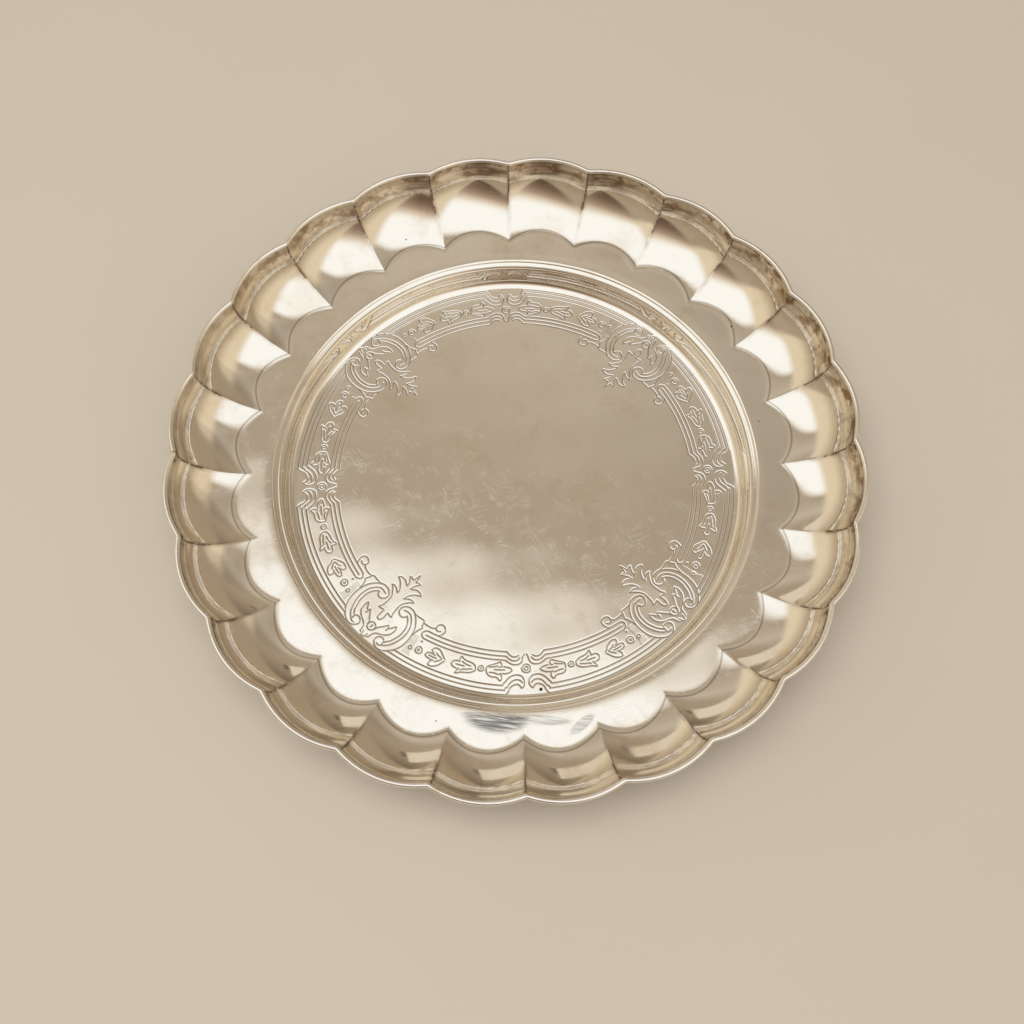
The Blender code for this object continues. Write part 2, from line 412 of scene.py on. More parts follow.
# %% Strokes of the scroll and its leaves
SCROLL_STROKES = [
    [(0, 60.0), (0.4, 59.5), (0.75, 58.5)],
    [(1.0, 59.25), (1.35, 58.9), (1.5, 58.2), (1.8, 57.4), (2.5, 56.85), (3.4, 56.5), (4.3, 56.0),
     (5.0, 55.4), (5.5, 54.7), (5.8, 53.8), (5.8, 53.0), (5.6, 52.4)],
    [(1.15, 56.6), (1.5, 55.6), (2.2, 54.8), (3.0, 53.9), (3.45, 53.35), (3.75, 53.6), (3.85, 54.7)],
    [(3.85, 54.0), (4.3, 53.8), (4.8, 53.2), (5.3, 52.6), (5.6, 52.4)],
    [(0, 57.5), (0.7, 57.2), (1.05, 56.6), (1.05, 55.8), (0.6, 55.35), (0, 55.2)],
    [(0, 56.6), (0.05, 55.9)],
    [(5.4, 58.1), (5.1, 57.1), (4.5, 56.85), (3.8, 56.9), (3.2, 57.4), (3.0, 58.2), (3.4, 59.0),
     (4.1, 59.6), (5.0, 59.9), (6.3, 59.6), (7.5, 58.8), (8.5, 57.9), (9.3, 56.8), (9.9, 55.6),
     (10.3, 54.2), (10.5, 52.8), (10.5, 51.5), (10.3, 50.2), (9.8, 49.0), (9.0, 47.9), (8.0, 47.0),
     (7.0, 46.4), (6.0, 46.2), (5.0, 46.2), (4.0, 46.5), (3.3, 47.0), (2.9, 47.7), (3.0, 48.4),
     (3.5, 49.0), (4.2, 49.4), (4.9, 49.45), (5.6, 49.1), (6.0, 48.4)],
    [(4.0, 58.8), (4.7, 58.95), (5.3, 58.6), (6.2, 58.0), (7.0, 57.2), (7.8, 56.0), (8.4, 54.8),
     (8.8, 53.6), (9.0, 52.2), (8.95, 51.0), (8.7, 50.0), (8.2, 49.0), (7.5, 48.2), (6.6, 47.6),
     (5.7, 47.45), (5.0, 47.5), (4.2, 47.6)],
    [(5.2, 58.4), (5.35, 57.7), (5.9, 57.0), (6.6, 56.2), (7.2, 55.0), (7.7, 53.8), (7.9, 52.5),
     (7.9, 51.2), (7.6, 50.2), (7.1, 49.3), (6.5, 48.7), (6.0, 48.5)],
    [(0, 53.8), (0.45, 53.55), (0.75, 52.9), (0.8, 52.1), (0.75, 51.3)],
    [(0.75, 51.0), (1.4, 51.1), (2.1, 51.25), (2.5, 51.15)],
    [(2.5, 51.1), (2.15, 50.4), (2.0, 49.4), (1.95, 48.4), (2.05, 47.4), (2.5, 46.5), (3.3, 45.7),
     (4.1, 45.05), (4.95, 44.6)],
    [(4.95, 44.6), (4.0, 44.4), (3.0, 44.6), (2.3, 44.9), (1.6, 45.3)],
    [(1.6, 45.3), (1.7, 44.6), (2.3, 43.7), (3.3, 42.9), (4.4, 42.4), (5.5, 42.1)],
    [(5.5, 42.0), (4.6, 41.5), (3.6, 41.4), (2.6, 41.5), (1.7, 41.9), (0.9, 42.2)],
    [(0.9, 42.1), (1.2, 41.2), (1.9, 40.3), (2.6, 39.7)],
    [(2.6, 39.7), (1.5, 39.7), (0.8, 39.9), (0.3, 38.8), (0, 37.8)],
    [(7.0, 46.4), (8.0, 46.8), (9.5, 46.9), (11.3, 47.0), (11.6, 47.6), (11.8, 48.4), (12.1, 49.1),
     (11.6, 49.6), (11.2, 50.3), (10.9, 51.0), (10.7, 51.8)],
    [(11.6, 47.5), (12.5, 47.65), (14, 47.75), (15.2, 47.6), (15.9, 47.2)],
    [(17.8, 48.8), (18.3, 48.4), (18.8, 47.7), (19.0, 47.0), (18.7, 46.3), (18.0, 45.85),
     (17.2, 45.8), (16.4, 46.1), (15.95, 46.7), (16.1, 47.4), (16.7, 47.75), (17.3, 47.7), (17.7, 47.5)],
]

# %% Strokes of the three tulips
TULIP_STROKES = [
    [(22.2, 54.4), (21.6, 55.1), (21.0, 55.9), (20.2, 56.5), (19.3, 56.9), (18.6, 56.8),
     (18.4, 56.3), (18.6, 55.6), (19.2, 55.15)],
    [(18.6, 55.3), (17.8, 55.2), (17.1, 55.0), (16.75, 54.6), (16.8, 54.1), (17.3, 53.8),
     (18.2, 53.7), (19.0, 53.8), (19.4, 54.0)],
    [(22.2, 53.9), (21.5, 53.3), (20.8, 52.6), (20.0, 52.1), (19.1, 51.95), (18.3, 52.1),
     (17.95, 52.6), (18.2, 53.2), (18.8, 53.4)],
    [(19.8, 55.4), (20.4, 55.0), (21.0, 54.5), (21.3, 54.1), (20.8, 53.8), (20.0, 53.5), (19.4, 53.1)],
    [(17.7, 54.4), (18.8, 54.5), (20.0, 54.5)],
    [(25.9, 56.4), (26.4, 56.3), (27.2, 55.9), (28.3, 55.7), (29.4, 55.5), (30.3, 55.1), (30.9, 54.6),
     (31.0, 54.0), (30.8, 53.4), (30.2, 53.0), (29.2, 52.7), (28.2, 52.6), (27.3, 52.3), (26.7, 51.9),
     (26.3, 51.8)],
    [(25.9, 56.3), (26.1, 55.7), (26.5, 54.9)],
    [(27.1, 55.4), (27.5, 55.0), (28.5, 54.8), (29.5, 54.5), (30.1, 54.4)],
    [(26.0, 55.2), (25.0, 55.0), (24.4, 54.5), (24.3, 54.0), (24.6, 53.5), (25.2, 53.2), (26.2, 53.15)],
    [(26.3, 53.2), (26.2, 52.4), (26.3, 51.8)],
    [(27.1, 53.0), (27.8, 53.4), (28.6, 53.6), (29.5, 53.7)],
    [(25.6, 54.1), (26.5, 54.1), (27.8, 54.1)],
    [(34.0, 53.7), (34.05, 54.2), (34.4, 54.9), (35.0, 55.4), (35.8, 55.6), (36.7, 55.6), (37.3, 55.8),
     (37.9, 56.4), (38.3, 55.9), (38.35, 55.3), (38.1, 54.7), (37.7, 54.5)],
    [(34.9, 54.5), (36.0, 54.5), (37.4, 54.8)],
    [(38.4, 54.5), (39.3, 54.5), (40.2, 54.2), (40.8, 53.8), (41.0, 53.4), (40.5, 53.0), (39.6, 52.8),
     (38.8, 52.7)],
    [(36.3, 53.6), (37.5, 53.6), (39.0, 53.5)],
    [(34.0, 53.7), (34.0, 53.3), (34.3, 52.9), (35.0, 52.6), (36.0, 52.2), (36.9, 51.8), (37.6, 51.5),
     (38.0, 51.9), (38.15, 52.4), (37.9, 52.8), (37.5, 52.9)],
    [(34.8, 53.1), (36.0, 52.9), (37.0, 52.6)],
]

# %% Plain lines and the strokes between two repeats
LINE_STROKES = [
    [(6.0, 60.0), (39.6, 60.0)],
    [(7.6, 58.8), (39.2, 58.8)],
    [(8.7, 57.6), (38.6, 57.6)],
    [(14.0, 51.15), (39.0, 51.0)],
    [(14.3, 50.05), (39.0, 49.9)],
    [(14.5, 48.9), (39.3, 48.7)],
    [(14.0, 51.1), (13.3, 50.7), (12.9, 50.1), (13.1, 49.5), (13.8, 49.0), (14.5, 48.9)],
    [(39.6, 60.0), (40.0, 59.4), (40.3, 58.9), (40.5, 58.3), (41.0, 57.7), (41.8, 57.3), (42.6, 57.2),
     (43.2, 57.6), (43.6, 58.2)],
    [(39.2, 58.8), (39.3, 58.3), (39.9, 57.9), (40.3, 57.2), (40.9, 56.5), (41.7, 56.1), (42.6, 56.0),
     (43.4, 56.3), (43.9, 56.8)],
    [(38.6, 57.6), (38.8, 57.1), (39.2, 56.7), (39.8, 55.9), (40.5, 55.3), (41.3, 54.9), (42.3, 54.75),
     (43.3, 54.9), (44.0, 55.4), (44.3, 56.1), (44.4, 57.0), (44.0, 57.8), (43.6, 58.2)],
    [(39.0, 51.0), (39.6, 51.3), (40.3, 51.7), (41.2, 52.05), (42.2, 52.1), (43.0, 51.9), (43.6, 51.5),
     (44.0, 50.8), (44.2, 50.0), (44.6, 49.3)],
    [(39.0, 49.9), (39.6, 50.2), (40.3, 50.7), (41.2, 51.05), (42.2, 51.0), (42.9, 50.6), (43.2, 50.2)],
    [(39.3, 48.7), (39.8, 49.1), (40.4, 49.6), (41.2, 50.0), (42.2, 50.0), (42.9, 49.6)],
]

# %% Small rings and the hatched patch
RING_MARKS = [
    (12.0, 54.8, 0.45),
    (14.5, 54.4, 0.9),
    (14.4, 54.4, 0.25),
    (14.1, 52.0, 0.1),
    (32.45, 53.8, 0.7),
    (32.45, 53.8, 0.1),
    (45.0, 53.1, 1.1),
    (45.0, 53.1, 0.5),
]
HATCH_SPAN = (10.75, 12.7)
HATCH_RADII = (51.4, 57.2)
HATCH_STROKES = 15
RADIUS_EXCESS = 0.17

STROKE_HALF_WIDTH = 0.25
STROKE_DEPTH = 0.13
HATCH_HALF_WIDTH = 0.15
HATCH_DEPTH = 0.045
CURVE_STEP = 0.12


def ring_mark(angle, radius, size):
    """A small ring as a closed stroke: its centre's angle and radius, and its own radius."""
    turn = np.linspace(0, 2 * pi, 13)
    sideways = np.degrees(size * np.cos(turn) / (radius - RADIUS_EXCESS))
    return list(zip(angle + sideways, radius + size * np.sin(turn)))


def hatch_marks():
    """Short strokes side by side, each along the ring, with uneven ends."""
    ends = np.random.default_rng(7).uniform(-0.16, 0.16, (HATCH_STROKES, 2))
    radii = np.linspace(*HATCH_RADII, HATCH_STROKES)
    return [
        [(HATCH_SPAN[0] + early, radius), (HATCH_SPAN[1] + late, radius)]
        for radius, (early, late) in zip(radii, ends)
    ]


strokes = SCROLL_STROKES + TULIP_STROKES + LINE_STROKES + [ring_mark(*mark) for mark in RING_MARKS]
print(len(strokes), "strokes and", HATCH_STROKES, "hatch marks in an eighth of the ring")

# %% [markdown]
# ## From strokes to depth
# A smooth line is passed through each stroke's points, and the surface sinks near it: the depth
# depends only on the distance from the line. Only the grid points close to a stroke are measured, so
# the whole ring takes a few seconds.

# %% Smooth lines through the strokes
def smooth_line(stroke):
    """Points close together on a smooth curve through a stroke's points, in millimetres.

    Between two points p and q, with o before and r after them, the curve at the share t is
    0.5 (2p + (q - o) t + (2o - 5p + 4q - r) t^2 + (3p - o - 3q + r) t^3).
    """
    points = np.array(stroke, float)
    p, q = points[:-1], points[1:]
    o, r = np.vstack([points[:1], points[:-2]]), np.vstack([points[2:], points[-1:]])
    span = np.hypot(np.radians(q - p)[:, 0] * p[:, 1], (q - p)[:, 1]).max()
    t = np.linspace(0, 1, max(4, int(span / CURVE_STEP)))[None, :, None]
    o, p, q, r = (end[:, None, :] for end in (o, p, q, r))
    curve = 0.5 * (2 * p + (q - o) * t + (2 * o - 5 * p + 4 * q - r) * t**2
                   + (3 * p - o - 3 * q + r) * t**3)
    return curve.reshape(-1, 2)


def near(values, line, margin):
    """The slice of a grid's values that lie within a margin of a line's own values."""
    found = np.flatnonzero((values > line.min() - margin) & (values < line.max() + margin))
    return slice(found[0], found[-1] + 1) if len(found) else slice(0)


def add_groove(depth, degrees, radii, stroke, half_width, deepest):
    """Sinks a stroke into the depths of a grid: deepest (1 - (d / half width)^2)^2 at distance d."""
    line = smooth_line(stroke) - (0, RADIUS_EXCESS)
    rows = near(radii, line[:, 1], half_width)
    columns = near(degrees, line[:, 0], np.degrees(half_width / line[:, 1].min()))
    if not depth[rows, columns].size:
        return
    angle, radius = np.meshgrid(np.radians(degrees[columns]), radii[rows])
    place = np.stack([radius * np.cos(angle), radius * np.sin(angle)], axis=-1)[:, :, None, :]
    turn = np.radians(line[:, 0])
    ends = line[:, 1:] * np.stack([np.cos(turn), np.sin(turn)], axis=1)
    start, run = ends[:-1], np.diff(ends, axis=0)
    length = np.maximum((run**2).sum(-1), 1e-12)
    share = np.clip(((place - start) * run).sum(-1) / length, 0, 1)
    distance = np.linalg.norm(place - start - share[..., None] * run, axis=-1).min(-1)
    sunk = deepest * (1 - np.clip(distance / half_width, 0, 1) ** 2) ** 2
    depth[rows, columns] = np.maximum(depth[rows, columns], sunk)


# %% The depth of an eighth of the ring
RING_ROWS = 176
RING_COLUMNS = 270
RING_INNER_RADIUS = 0.037
EDGE_FADE = 0.0001

ring_radii = np.linspace(RING_INNER_RADIUS, RING_OUTER_RADIUS, RING_ROWS + 1)
eighth_degrees = np.linspace(0, 45, RING_COLUMNS + 1)
ring_depth = np.zeros((RING_ROWS + 1, RING_COLUMNS + 1))
for stroke in strokes:
    add_groove(ring_depth, eighth_degrees, ring_radii / MM, stroke, STROKE_HALF_WIDTH, STROKE_DEPTH)
for stroke in hatch_marks():
    add_groove(ring_depth, eighth_degrees, ring_radii / MM, stroke, HATCH_HALF_WIDTH, HATCH_DEPTH)
ring_depth *= np.clip((ring_radii[-1] - ring_radii) / EDGE_FADE, 0, 1)[:, None]
print(f"deepest mark {ring_depth.max():.3f} mm, marked share {np.mean(ring_depth > 0):.2f}")

# %% [markdown]
# ## The panel
# The chased ring is finely divided, so it is made as four quarters, each with a thickness of its own
# and closed on every side. The plain middle needs far fewer faces and is a disc. Their edges meet at
# the same places, and the same slow waves run through them all.

# %% The quarters of the chased ring
SCROLL_AXIS = radians(46.5)
QUARTER = pi / 2


def make_ring_quarter(number):
    """A quarter of the chased ring: a grid on top, a flat underside and four upright walls."""
    depth = MM * np.concatenate([ring_depth[:, :0:-1], ring_depth], axis=1)
    degrees = np.concatenate([-eighth_degrees[:0:-1], eighth_degrees])
    angle = SCROLL_AXIS + QUARTER * number + np.radians(degrees)
    radius, around = np.meshgrid(ring_radii, angle, indexing="ij")
    waves = sheet_waves(radius * np.cos(around), radius * np.sin(around))
    height = panel_height(radius) - depth + waves
    top = polar_points(radius, around, height)
    inner = polar_points(ring_radii[0], angle, 0)
    outer = polar_points(ring_radii[-1], angle, 0)
    rows, columns = radius.shape
    faces = grid_faces(rows, columns)
    first_inner = len(top)
    first_outer = first_inner + columns
    last_row = first_inner - columns
    for j in range(columns - 1):
        faces.append([first_inner + j, j, j + 1, first_inner + j + 1])
        faces.append([last_row + j, first_outer + j, first_outer + j + 1, last_row + j + 1])
        faces.append([first_inner + j + 1, first_outer + j + 1, first_outer + j, first_inner + j])
    start = list(range(0, first_inner, columns))
    end = [corner + columns - 1 for corner in start]
    faces.append([first_inner, first_outer] + start[::-1])
    faces.append([first_outer + columns - 1, first_inner + columns - 1] + end)
    measures = np.concatenate([(depth / (STROKE_DEPTH * MM)).ravel(), np.zeros(2 * columns)])
    points = np.concatenate([top, inner, outer])
    return mesh_piece(f"panel_ring_{number + 1}", points, faces,
                      {"groove": measures, "crease_shade": 0 * measures})


quarters = [make_ring_quarter(number) for number in range(4)]

# %% The plain middle
MIDDLE_ROWS = 56
MIDDLE_COLUMNS = 720


def make_middle():
    """The disc inside the chased ring: rings of points closed by a centre point, over one flat face."""
    radius = RING_INNER_RADIUS * np.linspace(0, 1, MIDDLE_ROWS + 1)[:0:-1, None]
    angle = np.linspace(0, 2 * pi, MIDDLE_COLUMNS, endpoint=False)
    height = PANEL_TOP + sheet_waves(radius * np.cos(angle), radius * np.sin(angle))
    base = polar_points(RING_INNER_RADIUS, angle, 0)
    top = polar_points(radius, angle, height)
    centre = [[0, 0, PANEL_TOP + sheet_waves(0, 0)]]
    points = np.concatenate([base, top, centre])
    faces = grid_faces(MIDDLE_ROWS + 1, MIDDLE_COLUMNS, wrap_columns=True)
    faces = [face[::-1] for face in faces]
    last = len(base) + len(top) - MIDDLE_COLUMNS
    for j in range(MIDDLE_COLUMNS):
        faces.append([len(points) - 1, last + j, last + (j + 1) % MIDDLE_COLUMNS])
    faces.append(list(range(MIDDLE_COLUMNS))[::-1])
    level = np.zeros(len(points))
    return mesh_piece("panel_middle", points, faces, {"groove": level, "crease_shade": level})


middle = make_middle()

# %% [markdown]
# ## The rim wire and its solder
# The wire is one length of round wire, bent to the scallops and soldered on top of the lip. Its ends
# meet in the notch at the left, in a bead of solder whose plating has worn through. Both are round
# tubes about a line: the wire's radius is constant, and the bead's swells and closes like an egg.

# %% A round tube about a line
TUBE_SIDES = 18
BEAD_HALF_LENGTH = 0.00062
BEAD_RINGS = 21
BEAD_CUT = 0.985
WIRE_END_GAP = 0.00018
WIRE_EASE = 0.0045
WIRE_INSET = 0.00002
JOINT_ANGLE = pi


def tube_piece(name, line, across, radius):
    """A tube: each ring is line + radius (cos(v) across + sin(v) up), with a flat face on each end."""
    turn = np.linspace(0, 2 * pi, TUBE_SIDES, endpoint=False)[None, :, None]
    up = np.array([0.0, 0.0, 1.0])
    ring = across[:, None, :] * np.cos(turn) + up * np.sin(turn)
    points = line[:, None, :] + radius[:, None, None] * ring
    rows = len(line)
    faces = grid_faces(rows, TUBE_SIDES, wrap_columns=True)
    faces.append(list(range(TUBE_SIDES)))
    faces.append(list(range((rows - 1) * TUBE_SIDES, rows * TUBE_SIDES))[::-1])
    return mesh_piece(name, points.reshape(-1, 3), faces)


def make_rim_wire():
    """The wire over the middle of the sheet's edge, from one side of the joint round to the other.

    It lies a hair inside the middle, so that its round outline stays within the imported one.
    """
    gap = WIRE_END_GAP / LIP_NOTCH_RADIUS
    angle = np.append(round_angles(POINTS_PER_LOBE), 2 * pi)
    angle = np.unique(np.clip(angle, gap, 2 * pi - gap))
    radius = lip_radius(from_crest(angle, WIRE_EASE), SHEET_THICKNESS / 2 - WIRE_INSET)
    line = polar_points(radius, JOINT_ANGLE + angle, WIRE_HEIGHT)
    along = np.gradient(line, axis=0)
    along /= np.linalg.norm(along, axis=1, keepdims=True)
    across = np.stack([along[:, 1], -along[:, 0], 0 * along[:, 2]], axis=1)
    return tube_piece("rim_wire_round", line, across, np.full(len(line), WIRE_RADIUS))


def make_solder_bead():
    """The bead of solder over the wire's two ends; at the share s its radius is r (1 - s^2)^(1/3)."""
    share = np.sin(np.linspace(-BEAD_CUT, BEAD_CUT, BEAD_RINGS) * pi / 2)
    notch = lip_radius(HALF_LOBE - NOTCH_EASE, SHEET_THICKNESS / 2)
    level = np.ones(BEAD_RINGS)
    line = np.stack([-notch * level, -BEAD_HALF_LENGTH * share, WIRE_HEIGHT * level], axis=1)
    across = np.tile([-1.0, 0.0, 0.0], (BEAD_RINGS, 1))
    radius = WIRE_RADIUS * (1 - share**2) ** (1 / 3)
    return tube_piece("solder_bead", line, across, radius)


rim_wire = make_rim_wire()
bead = make_solder_bead()

# %% [markdown]
# ## Finishes
# All of the tray is metal, so what is seen is mostly reflection, and the finish lies in what breaks
# it up: hair-fine scratches from polishing and use, brown tarnish, grime in the chased lines, and
# painted shade round the creases, at the flutes' feet and up the far and right walls. Scratches and
# tarnish are used by more than one material, so they are node groups. A group gives only a mask or
# a height, and the shader stays in the material.

# %% Helpers for nodes
def node(tree, kind, inputs=None, **settings):
    """A new node with its settings; an input is either a value or the socket that feeds it."""
    made = tree.nodes.new("ShaderNode" + kind)
    for key, value in settings.items():
        setattr(made, key, value)
    for key, value in (inputs or {}).items():
        if isinstance(value, bpy.types.NodeSocket):
            tree.links.new(value, made.inputs[key])
        else:
            made.inputs[key].default_value = value
    return made


def maths(tree, operation, *values):
    """The result of a Math node on one or two values or sockets."""
    return node(tree, "Math", dict(enumerate(values)), operation=operation).outputs[0]


def ramp(tree, value, low, high, start=0.0, end=1.0):
    """A value eased from start to end as the input goes from low to high."""
    inputs = {"Value": value, "From Min": low, "From Max": high, "To Min": start, "To Max": end}
    return node(tree, "MapRange", inputs, interpolation_type="SMOOTHSTEP").outputs[0]


def mix_colour(tree, share, first, second):
    """The first colour where the share is 0, and the second where it is 1."""
    inputs = {0: share}
    for key, colour in ((6, first), (7, second)):
        inputs[key] = (*colour, 1) if isinstance(colour, tuple) else colour
    return node(tree, "Mix", inputs, data_type="RGBA").outputs[2]


def product(tree, first, *others):
    """The product of values or sockets."""
    for other in others:
        first = maths(tree, "MULTIPLY", first, other)
    return first


def plateau(tree, value, rise, fall, top=1.0):
    """A value eased up to the top over one span of the input, and down again over a later one."""
    return product(tree, ramp(tree, value, *rise, 0.0, top), ramp(tree, value, *fall, 1.0, 0.0))


def group_output(tree, group, **inputs):
    """What a node group puts out, with its inputs given by name."""
    return node(tree, "Group", inputs, node_tree=group).outputs[0]


def noise(tree, place, scale, detail=3.0, roughness=0.55):
    """A cloudy value that wanders round a half."""
    inputs = {"Vector": place, "Scale": scale, "Detail": detail, "Roughness": roughness}
    return node(tree, "TexNoise", inputs).outputs[0]


def turned(tree, place, turn, scale):
    """Places turned about the upright axis, then scaled along each direction."""
    flat = node(tree, "Mapping", {"Vector": place, "Rotation": (0, 0, turn)}).outputs[0]
    return node(tree, "Mapping", {"Vector": flat, "Scale": scale}).outputs[0]


def new_group(name, inputs, output):
    """An empty node group with named inputs and one float output, and its two end nodes."""
    tree = bpy.data.node_groups.new(name, "ShaderNodeTree")
    for label, kind in inputs.items():
        tree.interface.new_socket(label, in_out="INPUT", socket_type="NodeSocket" + kind)
    tree.interface.new_socket(output, in_out="OUTPUT", socket_type="NodeSocketFloat")
    return tree, tree.nodes.new("NodeGroupInput"), tree.nodes.new("NodeGroupOutput")


# %% Group: hair-fine scratches
SCRATCH_TURNS = (0.35, 1.3, 2.5)
SCRATCH_STRETCH = 0.045
SCRATCH_THINNESS = 0.012
SCRATCH_PATCH_SCALE = 0.12


def make_scratches():
    """Long thin lines in three directions, in patches of their own.

    A line lies where stretched noise passes its middle value.
    """
    tree, start, end = new_group("fine_scratches", {"Place": "Vector", "Scale": "Float"}, "Height")
    place, scale = start.outputs["Place"], start.outputs["Scale"]
    patch_scale = product(tree, scale, SCRATCH_PATCH_SCALE)
    total = 0
    for turn in SCRATCH_TURNS:
        value = noise(tree, turned(tree, place, turn, (1, SCRATCH_STRETCH, 1)), scale, 1.0)
        off_middle = maths(tree, "ABSOLUTE", maths(tree, "SUBTRACT", value, 0.5))
        line = ramp(tree, off_middle, 0.0, SCRATCH_THINNESS, 1.0, 0.0)
        patches = noise(tree, turned(tree, place, turn, (1, 1, 1)), patch_scale, 1.0)
        scratched = product(tree, line, ramp(tree, patches, 0.48, 0.62))
        total = maths(tree, "MAXIMUM", scratched, total)
    tree.links.new(total, end.inputs[0])
    return tree


scratches = make_scratches()


# %% Group: clouds of tarnish
def make_tarnish():
    """Cloudy patches with soft edges; a greater cover makes more and larger ones."""
    inputs = {"Place": "Vector", "Scale": "Float", "Cover": "Float"}
    tree, start, end = new_group("tarnish_clouds", inputs, "Mask")
    place, scale, cover = (start.outputs[label] for label in inputs)
    cloud = noise(tree, place, scale, 6.0, 0.62)
    low = maths(tree, "SUBTRACT", 0.68, maths(tree, "MULTIPLY", cover, 0.36))
    tree.links.new(ramp(tree, cloud, low, maths(tree, "ADD", low, 0.16)), end.inputs[0])
    return tree


tarnish = make_tarnish()
print("node groups:", [group.name for group in bpy.data.node_groups])

# %% [markdown]
# ## The plated sheet
# One material covers the whole dish. Bright silver is slightly warm. Tarnish clouds the upper walls,
# and painted shade darkens them further on the far side and the right. Painted shade also lies
# softly round the creases, in broken dark lines along them and in a thin line at the foot of each
# flute, and grime fills the chased lines. On the near band the plate is rubbed through to a brushed
# grey in three patches. A few dark pits are single spots at their own places.

# %% Colours and places of the wear and the painted shade
BRIGHT_SILVER = (0.90, 0.865, 0.795)
WARM_SILVER = (0.87, 0.81, 0.715)
# Tarnish, with painted shade on the far and right walls and round the creases.
TARNISH_AND_SHADE_BROWN = (0.33, 0.215, 0.125)
# Painted shade in a thin line at the foot of each flute.
FOOT_PAINTED_SHADE = (0.33, 0.28, 0.22)
# Grime in the chased lines, and painted shade in broken lines along the creases.
DIRT_AND_CREASE_SHADE = (0.11, 0.065, 0.04)
RUBBED_GREY = (0.16, 0.17, 0.165)
PIT_BLACK = (0.05, 0.04, 0.03)

FOOT_LINE_RISE = (BAND_TOP + 0.00009, BAND_TOP + 0.00012)
FOOT_LINE_FALL = (BAND_TOP + 0.00015, BAND_TOP + 0.00021)
FOOT_LINE_SHARE = 0.6
TARNISH_AND_SHADE_SPAN = (0.02, 0.08)
TURNED_LINES_RISE = (SHOULDER_INNER_RADIUS + 0.0002, SHOULDER_INNER_RADIUS + 0.0003)
TURNED_LINES_FALL = (SHOULDER_RADIUS - 0.0003, SHOULDER_RADIUS - 0.0002)
TURNED_LINE_PITCH = 0.00043
POLISH_ROUGHNESS = 0.075
MARK_HEIGHT = 0.00001

RUBBED_PATCHES = [
    ((-0.0064, -0.0660), (0.0094, 0.0050), -5, True, 1.0),
    ((0.0040, -0.0676), (0.0090, 0.0014), -4, False, 0.5),
    ((0.0147, -0.0688), (0.0042, 0.0015), 38, False, 0.45),
]
PITS = [
    (0.0620, 0.0423, 0.00042),
    (0.0050, -0.0585, 0.00055),
    (0.0668, 0.0127, 0.0003),
    (-0.0300, 0.0725, 0.00025),
    (-0.0215, -0.0672, 0.0002),
]


def new_material(name):
    """An empty node material: its tree and its output node."""
    material = bpy.data.materials.new(name)
    material.use_nodes = True
    tree = material.node_tree
    tree.nodes.clear()
    return material, tree, tree.nodes.new("ShaderNodeOutputMaterial")


def rubbed_mask(tree, place):
    """How far the plate is rubbed, and the streaks of the rubbing.

    Each patch is 1 inside a long oval with a ragged edge, broken up by streaks along it. The first
    is only the lower half of its oval, with a straight upper edge.
    """
    streaks = noise(tree, turned(tree, place, 0.16, (0.05, 1, 1)), 3000, 3.0)
    lines = ramp(tree, streaks, 0.36, 0.6, 0.3, 1.0)
    ragged = maths(tree, "MULTIPLY", streaks, 0.5)
    total = 0
    for (x, y), half_size, degrees, lower_half, strength in RUBBED_PATCHES:
        moved = node(tree, "Mapping", {"Vector": place, "Location": (x, y, 0)}, vector_type="TEXTURE")
        size = (1 / half_size[0], 1 / half_size[1], 0)
        oval = turned(tree, moved.outputs[0], -radians(degrees), size)
        away = node(tree, "VectorMath", {0: oval}, operation="LENGTH").outputs["Value"]
        patch = ramp(tree, maths(tree, "ADD", away, ragged), 0.95, 1.3, strength, 0.0)
        if lower_half:
            up = maths(tree, "ADD", node(tree, "SeparateXYZ", {0: oval}).outputs[1], ragged)
            patch = maths(tree, "MULTIPLY", patch, ramp(tree, up, 0.2, 0.36, 1.0, 0.0))
        total = maths(tree, "MAXIMUM", patch, total)
    return maths(tree, "MULTIPLY", total, lines), streaks


def pit_mask(tree, flat):
    """1 within any of the pits: each is a soft-edged spot at its own place, seen from above."""
    total = 0
    for x, y, size in PITS:
        away = node(tree, "VectorMath", {0: flat, 1: (x, y, 0)}, operation="DISTANCE").outputs["Value"]
        total = maths(tree, "MAXIMUM", ramp(tree, away, size * 0.5, size, 1.0, 0.0), total)
    return total


# %% Where the tarnish, the grime and the painted shade lie
def tarnish_and_shade_mask(tree, place, crease_shade, fine_cloud, broad_cloud):
    """How brown the plate is.

    It is tarnished in clouds up the walls, with painted shade darkening them most on the far side and
    the right, painted shade round the creases, and a very faint tarnish all over.
    """
    x, y, z = node(tree, "SeparateXYZ", {0: place}).outputs
    wall = ramp(tree, z, BAND_TOP + 0.45 * FLUTE_HEIGHT, BAND_TOP + FLUTE_HEIGHT)
    # Painted shade: the wall clouds grow darker towards the right and the far side.
    right = ramp(tree, x, *TARNISH_AND_SHADE_SPAN, 0.2, 0.95)
    far = ramp(tree, y, *TARNISH_AND_SHADE_SPAN, 0.2, 0.7)
    blotch = product(tree, fine_cloud, maths(tree, "MAXIMUM", right, far))
    on_wall = product(tree, wall, maths(tree, "ADD", blotch, 0.2))
    # Painted shade: a soft brown round each crease.
    crease_cloud = maths(tree, "ADD", product(tree, fine_cloud, 0.5), 0.3)
    in_crease = product(tree, crease_shade, crease_cloud)
    everywhere = product(tree, fine_cloud, broad_cloud, 0.09)
    return maths(tree, "MAXIMUM", maths(tree, "MAXIMUM", on_wall, in_crease), everywhere)


def dirt_and_shade_mask(tree, place, groove, crease_shade):
    """How dark the marks are: grime in the chased lines, and broken lines of painted shade along the
    creases.
    """
    broken = ramp(tree, noise(tree, place, 800, 3.0), 0.38, 0.5)
    # Painted shade: broken dark lines along the creases.
    crease_shade_line = product(tree, ramp(tree, crease_shade, 0.88, 0.98), broken)
    return product(tree, maths(tree, "MAXIMUM", ramp(tree, groove, 0.35, 0.9), crease_shade_line), 0.85)


